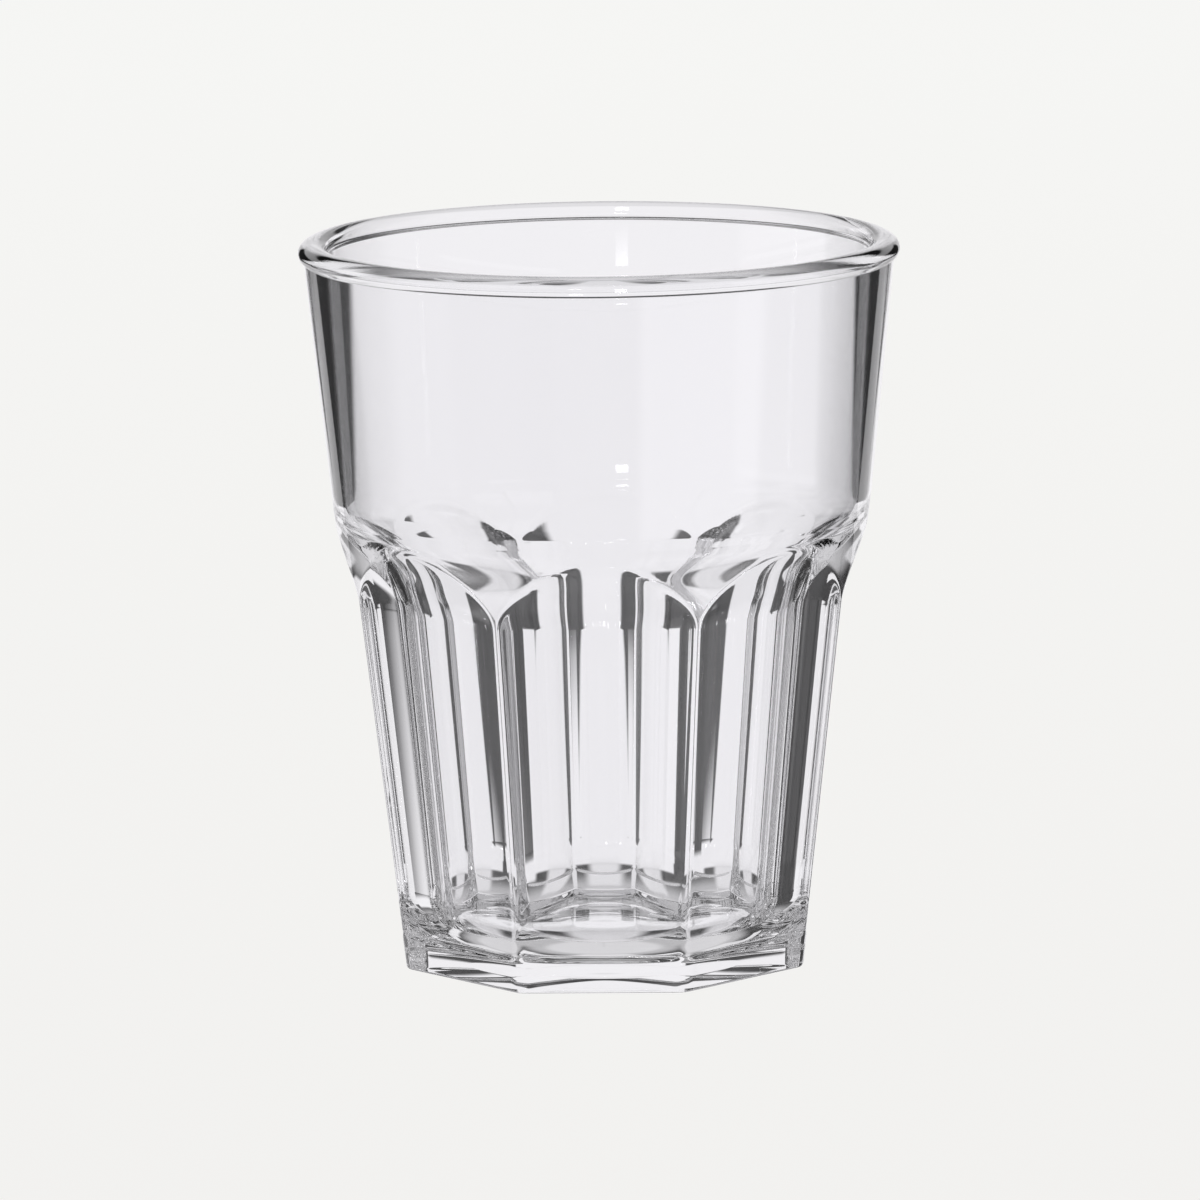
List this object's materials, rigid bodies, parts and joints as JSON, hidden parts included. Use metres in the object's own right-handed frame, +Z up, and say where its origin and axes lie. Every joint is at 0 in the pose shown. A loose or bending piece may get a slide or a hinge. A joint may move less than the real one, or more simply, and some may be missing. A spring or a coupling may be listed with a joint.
{
  "type": "tumbler",
  "caption": "Clear moulded drinking tumbler with a plain flared upper wall, a beaded rim, arched flutes on its lower wall and a faceted foot.",
  "frame": {"origin": "centre of the face that the tumbler stands on", "axes": "+Z up along the tumbler's axis, -Y towards the middle of a flute"},
  "size_m": [0.09, 0.09, 0.109],
  "materials": {
    "clear_plastic": "polished clear polycarbonate, colourless with a faint grey cast in the thick edges"
  },
  "bodies": {
    "root": {"tumbler_body": "clear_plastic"}
  },
  "joints": []
}
